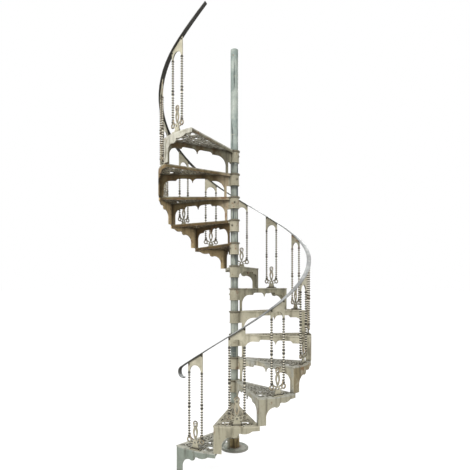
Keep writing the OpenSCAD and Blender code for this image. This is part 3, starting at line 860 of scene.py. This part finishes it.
def ornament_bars(name, numbers, material):
    """The round bars of some balusters' foot ornaments.

    They are a scroll at the top, a lens of two strands under it, and a scroll
    round each rod's foot with a leaf to the middle.
    """
    mesh = bmesh.new()
    top_scroll = arc((0, TOP_SCROLL_Z), TOP_SCROLL_R, *TOP_SCROLL_ARC, SCROLL_STEPS)
    foot_scroll = arc((0, DROP_Z), FOOT_SCROLL_R, *FOOT_SCROLL_ARC, SCROLL_STEPS)
    leaf = arc(LEAF_MIDDLE, LEAF_R, *LEAF_ARC, LEAF_STEPS)
    strand = []
    for i in range(LENS_STEPS + 1):
        share = i / LENS_STEPS
        swing = LENS_W * math.sin(math.pi * share)
        strand.append((swing, LENS_LOW + (LENS_HIGH - LENS_LOW) * share))
    for k in numbers:
        at = spot(baluster_bearing(k), BALUSTER_R, k * RISE)
        add_bar(mesh, at, top_scroll, BAR_R)
        for side in (-1, 1):
            add_bar(mesh, at, [(side * y, z) for y, z in strand], BAR_R)
            add_bar(mesh, at, [(side * (ROD_GAP / 2 + y), z) for y, z in foot_scroll], BAR_R)
            add_bar(mesh, at, [(side * y, z) for y, z in leaf], BAR_R)
    finish_piece(name, mesh, material, smooth=True)


def hub_screws(steel):
    """The set screw in the boss of each hub."""
    mesh = bmesh.new()
    for k in range(1, TREADS + 1):
        at = spot(tread_bearing(k) + SCREW_TURN, HUB_R + SCREW_BOSS_OUT, k * RISE - HUB_H / 2)
        add_slotted_screw(mesh, at @ OUTWARDS, SCREW_HEAD_R, SCREW_HEAD_OUT)
    finish_piece("hub_screws", mesh, steel)


def foot_bolts(steel):
    """Four bolts through each baluster's foot into its tread."""
    mesh = bmesh.new()
    for k in range(1, TREADS + 1):
        for out in (-1, 1):
            for aside in (-1, 1):
                at = spot(baluster_bearing(k), BALUSTER_R + out * FOOT_BOLT_OUT,
                          k * RISE + FOOT_T, aside * (FOOT_W / 2 - FOOT_BOLT_INSET))
                add_bolt(mesh, at, FOOT_BOLT_R)
    finish_piece("baluster_foot_bolts", mesh, steel)


def rail_height(k, aside):
    """Height of the handrail's middle over a point beside baluster k's middle."""
    further_round = math.degrees(math.atan(aside / BALUSTER_R))
    return k * RISE + RAIL_Z + RISE * further_round / TURN


def rail_screws(steel):
    """A screw through the head of each baluster at both its upper corners."""
    mesh = bmesh.new()
    for k in range(1, TREADS + 1):
        for side in (-1, 1):
            aside = side * ROD_GAP / 2
            height = rail_height(k, aside) - RAIL_SCREW_DROP
            outer = spot(baluster_bearing(k), BALUSTER_R + FLAT_T / 2, height, aside)
            inner = spot(baluster_bearing(k), BALUSTER_R - FLAT_T / 2, height, aside)
            add_bolt(mesh, outer @ OUTWARDS, RAIL_SCREW_R)
            add_slotted_screw(mesh, inner @ INWARDS, RAIL_SCREW_R, RAIL_SCREW_OUT)
    finish_piece("rail_screws", mesh, steel)


def give(node, material):
    """Makes a material the only one of a CAD node."""
    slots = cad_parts[node].data.materials
    slots.clear()
    slots.append(material)


def dress_treads():
    """Each tread's paint, and the small rings of its plate in the same paint."""
    for i, (name, (numbers, look)) in enumerate(TREAD_LOOKS.items()):
        paint = aged_paint("tread_paint_" + name, seed=i * TREAD_SEED, **look)
        for k in numbers:
            give("tread_%02d" % k, paint)
        gap_rings("plate_rings_" + name, numbers, paint)


def dress_balusters():
    """A paint for each baluster, because its pale necks follow its own rods."""
    for name, (numbers, look) in BALUSTER_LOOKS.items():
        for k in numbers:
            label = "baluster_paint_%s_%02d" % (name, k)
            paint = bead_paint(label, seed=BALUSTER_SEED * k, k=k, **look)
            give("baluster_%02d" % k, paint)


def dress_the_rest():
    """The looks of the plate, the socket, the pole and the handrail."""
    looks = {
        "base_plate": plate_paint(),
        "pole_socket": socket_rust(),
        "centre_pole": pole_paint(),
        "handrail": rail_steel(),
    }
    for node, material in looks.items():
        give(node, material)


def add_ornaments():
    """The balusters' bold beads and the round bars at their feet."""
    bar_paint = bead_paint("bar_paint", BEIGE, WARM_TAN, DARK_BROWN)
    for name, (numbers, look) in BALUSTER_LOOKS.items():
        # bead paint that is partly worn and partly painted shade below each bead's top
        worn = worn_and_shaded_bead_paint("bead_paint_" + name, look["main"], look["light"], look["deep"])
        rod_beads("rod_beads_" + name, numbers, worn)
        ornament_bars("ornament_bars_" + name, numbers, bar_paint)


def add_fixings():
    """The screws and bolts that hold the castings together."""
    steel = dark_steel()
    hub_screws(steel)
    foot_bolts(steel)
    rail_screws(steel)


def camera():
    """A level camera at the photographer's eye, shifted to the photograph's frame."""
    data = bpy.data.cameras.new("photo_camera")
    data.sensor_width = SENSOR_W
    data.lens = FOCAL_PIXELS / PHOTO_SIZE * SENSOR_W
    data.shift_x = SHIFT_X_PIXELS / PHOTO_SIZE
    data.shift_y = SHIFT_Y_PIXELS / PHOTO_SIZE
    eye = bpy.data.objects.new("photo_camera", data)
    eye.location = EYE
    eye.rotation_euler = (math.radians(LEVEL_VIEW), 0, 0)
    bpy.context.scene.collection.objects.link(eye)
    bpy.context.scene.camera = eye


def lamp(name, place, size, power):
    """A soft square lamp that faces the middle of the stair."""
    data = bpy.data.lights.new(name, "AREA")
    data.size = size
    data.energy = power
    light = bpy.data.objects.new(name, data)
    light.location = place
    aim = Vector(LAMP_AIM) - Vector(place)
    light.rotation_euler = aim.to_track_quat("-Z", "Y").to_euler()
    bpy.context.scene.collection.objects.link(light)


def white_to_the_eye(tree):
    """1 for the rays that should see white: straight, mirrored and passed on."""
    path = tree.nodes.new("ShaderNodeLightPath")
    seen = path.outputs["Is Camera Ray"]
    for ray in ("Is Glossy Ray", "Is Transmission Ray"):
        either = tree.nodes.new("ShaderNodeMath")
        either.operation = "MAXIMUM"
        tree.links.new(seen, either.inputs[0])
        tree.links.new(path.outputs[ray], either.inputs[1])
        seen = either.outputs[0]
    return seen


def studio_world():
    """A world that lights the stair softly and looks white."""
    world = bpy.data.worlds.new("studio")
    world.use_nodes = True
    tree = world.node_tree
    back = tree.nodes["Background"]
    level = tree.nodes.new("ShaderNodeMapRange")
    level.inputs["To Min"].default_value = WORLD_STRENGTH
    level.inputs["To Max"].default_value = 1.0
    tree.links.new(white_to_the_eye(tree), level.inputs["Value"])
    tree.links.new(level.outputs["Result"], back.inputs["Strength"])
    back.inputs["Color"].default_value = (1, 1, 1, 1)
    bpy.context.scene.world = world


def studio_floor():
    """A white floor that keeps a share of the stair's shadow."""
    bpy.ops.mesh.primitive_plane_add(size=FLOOR_SIZE)
    floor = bpy.context.object
    floor.name = "studio_floor"
    material = bpy.data.materials.new("studio_floor")
    material.use_nodes = True
    tree = material.node_tree
    tree.nodes.clear()
    matt = tree.nodes.new("ShaderNodeBsdfDiffuse")
    matt.inputs["Color"].default_value = FLOOR_COLOUR
    glow = tree.nodes.new("ShaderNodeEmission")
    glow.inputs["Strength"].default_value = FLOOR_GLOW
    blend = tree.nodes.new("ShaderNodeMixShader")
    share = tree.nodes.new("ShaderNodeMath")
    share.operation = "MULTIPLY"
    share.inputs[1].default_value = 1 - SHADOW_SHARE
    out = tree.nodes.new("ShaderNodeOutputMaterial")
    tree.links.new(white_to_the_eye(tree), share.inputs[0])
    tree.links.new(share.outputs[0], blend.inputs[0])
    tree.links.new(matt.outputs[0], blend.inputs[1])
    tree.links.new(glow.outputs[0], blend.inputs[2])
    tree.links.new(blend.outputs[0], out.inputs["Surface"])
    floor.data.materials.append(material)


camera()
studio_world()
studio_floor()
for lamp_name, settings in LAMPS.items():
    lamp(lamp_name, *settings)
dress_treads()
dress_balusters()
dress_the_rest()
add_ornaments()
add_fixings()

bpy.context.scene.view_settings.view_transform = "Standard"
